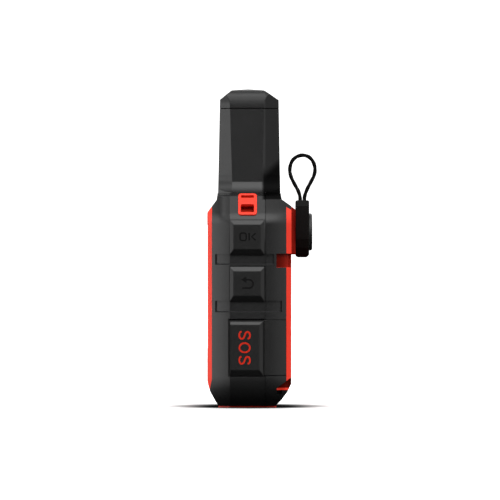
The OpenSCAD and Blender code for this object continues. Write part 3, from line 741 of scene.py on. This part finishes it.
def add_strap(form, side, low_z, high_z):
    """The strap, wrapped round the rear corner of the case."""
    inner, outer, chamfer = CORNER_R - 0.83, CORNER_R - 0.03, 0.12
    section = [(inner, low_z), (outer - chamfer, low_z), (outer, low_z + chamfer),
               (outer, high_z - chamfer), (outer - chamfer, high_z), (inner, high_z)]
    turns = [math.asin(max(-1, (y - CORNER_Y) / CORNER_R)) if y > CORNER_Y else (y - CORNER_Y) / CORNER_R
             for y in [4.6 + 0.118 * k for k in range(58)]]
    rows = [[form.verts.new(Vector((side * (CORNER_X + r * math.cos(t)), CORNER_Y + r * math.sin(t), z))
                            * MM) for r, z in section] for t in turns]
    count = len(section)
    for one, other in zip(rows, rows[1:]):
        for k in range(count):
            form.faces.new((one[k], one[(k + 1) % count], other[(k + 1) % count], other[k]))
    form.faces.new(rows[0])
    form.faces.new(reversed(rows[-1]))


def rubber_cover(name, node, side, body):
    form = clean_copy(node)
    everything = list(form.verts) + list(form.edges) + list(form.faces)
    bmesh.ops.bisect_plane(form, geom=everything, plane_co=(0, DOOR_END * MM, 0), plane_no=(0, 1, 0),
                           clear_outer=True)
    bmesh.ops.holes_fill(form, edges=[e for e in form.edges if e.is_boundary])
    sink_face(form)
    ease(form, 0.15, steps=3, chosen=lambda e: min(v.co.y for v in e.verts) < 4.5 * MM)
    low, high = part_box(node)
    add_strap(form, side, low.z / MM + 0.22, high.z / MM - 0.22)
    bmesh.ops.recalc_face_normals(form, faces=form.faces)
    made = piece(name, as_mesh(name, form), None, "key_rubber", (node, node + "_anchor"))
    hinge = next(j for j in frame["joints"] if j["child"] == body)["pos_m"]
    turn = math.asin((hinge[1] / MM - CORNER_Y) / CORNER_R)
    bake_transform(made)
    return even_light(made)


rubber_cover("distress_door", "sos_cover", 1, "sos_cover")
rubber_cover("socket_door", "usb_cover", -1, "usb_cover")

# ---- Lanyard loop ---------------------------------------------------------------------------------

line = smooth_line(CORD_ROUTE, 9)
reach = run_length(line)
cord_r = 0.615


def braid(turn, way):
    """How far the yarn stands out at a turn round the cord and a way along it: two crossing sets."""
    one = math.cos(4 * turn + way * 2.3)
    other = math.cos(4 * turn - way * 2.3)
    over = 0.5 + 0.5 * math.cos(way * 2.3) * math.cos(4 * turn)
    return 0.05 * (max(one * (0.75 + 0.25 * over), other * (1 - 0.25 * over)) - 1)


def cord_mesh():
    form = bmesh.new()
    rows, way, sides = [], 0.0, 28
    side = Vector((1, 0, 0))
    for i, point in enumerate(line):
        if i:
            way += (point - line[i - 1]).length / MM
        heading = (line[min(i + 1, len(line) - 1)] - line[max(i - 1, 0)]).normalized()
        side = (side - heading * side.dot(heading)).normalized()
        other = heading.cross(side)
        rows.append([form.verts.new(point + (side * math.cos(t) + other * math.sin(t))
                                    * (cord_r + braid(t, way)) * MM)
                     for t in (2 * math.pi * k / sides for k in range(sides))])
    for one, two in zip(rows, rows[1:]):
        for k in range(sides):
            form.faces.new((one[k], one[(k + 1) % sides], two[(k + 1) % sides], two[k]))
    form.faces.new(reversed(rows[0]))
    form.faces.new(rows[-1])
    return as_mesh("loop_cord", form, 80)


loop_cord = piece("loop_cord", cord_mesh(), "root", "cord_black", ["lanyard_loop"])

# ---- Floor, backdrop and light --------------------------------------------------------------------


def slab(name, corners):
    form = bmesh.new()
    form.faces.new([form.verts.new(c) for c in corners])
    made = bpy.data.objects.new(name, as_mesh(name, form))
    scene.collection.objects.link(made)
    return made


floor = slab("floor", [(-6, -6, -2e-5), (6, -6, -2e-5), (6, 6, -2e-5), (-6, 6, -2e-5)])
paper, book = new_book("paper")
# The floor: an even pale paper that glows a little, with a painted soft contact shadow round the
# object's foot that is longer along X than along Y.
x, y, z = book.axes(book.place())
x = x * 0.65
# Painted contact shadow: dark near the foot, fading out between about 12 and 37 mm.
painted_contact_shadow = (x * x + y * y).math("SQRT").rise(0.0122, 0.0368)
paper_with_painted_shadow = book.mix(painted_contact_shadow, (0.004, 0.004, 0.004),
                 book.mix(book.noise(3), (0.93, 0.93, 0.93), (0.95, 0.95, 0.95)))
book.close("ShaderNodeOutputMaterial",
           principled(book, paper_with_painted_shadow, 1.0, Specular_IOR_Level=0.0, Emission_Color=paper_with_painted_shadow,
                      Emission_Strength=0.7))
floor.data.materials.append(paper)
backdrop = slab("backdrop", [(-5.5, -6, -1), (-5.5, 6, -1), (-5.5, 6, 6), (-5.5, -6, 6)])
glow, book = new_book("backdrop_glow")
book.close("ShaderNodeOutputMaterial", book.node("ShaderNodeEmission", {}, (1, 1, 1, 1), 1.4))
backdrop.data.materials.append(glow)
for item in (floor, backdrop):
    item.visible_diffuse = item.visible_glossy = item.visible_transmission = False
backdrop.visible_shadow = False

studio = bpy.data.worlds.new("studio")
scene.world = studio
book = Book(studio)
x, y, z = book.axes(book.node("ShaderNodeTexCoord", {}, output="Generated"))
above_floor = z.rise(-0.45, 0.25)
sky = (z * 0.8 + x * 0.6).rise(0.66, 1.0) * 3.9
front_card = (x * 0.1 - y).rise(0.7, 1.0) * above_floor * 3.5
rear_card = y.rise(0.25, 0.7) * above_floor * 1.2
left_card = (z * 0.4 - x * 0.85).rise(0.5, 0.95) * above_floor * 1.4
fill = x.rise(-0.3, 0.9) * above_floor * 0.03
light = sky + front_card + rear_card + left_card + fill + 0.01
book.close("ShaderNodeOutputWorld",
           book.node("ShaderNodeBackground", {}, (1, 1, 1, 1), light))
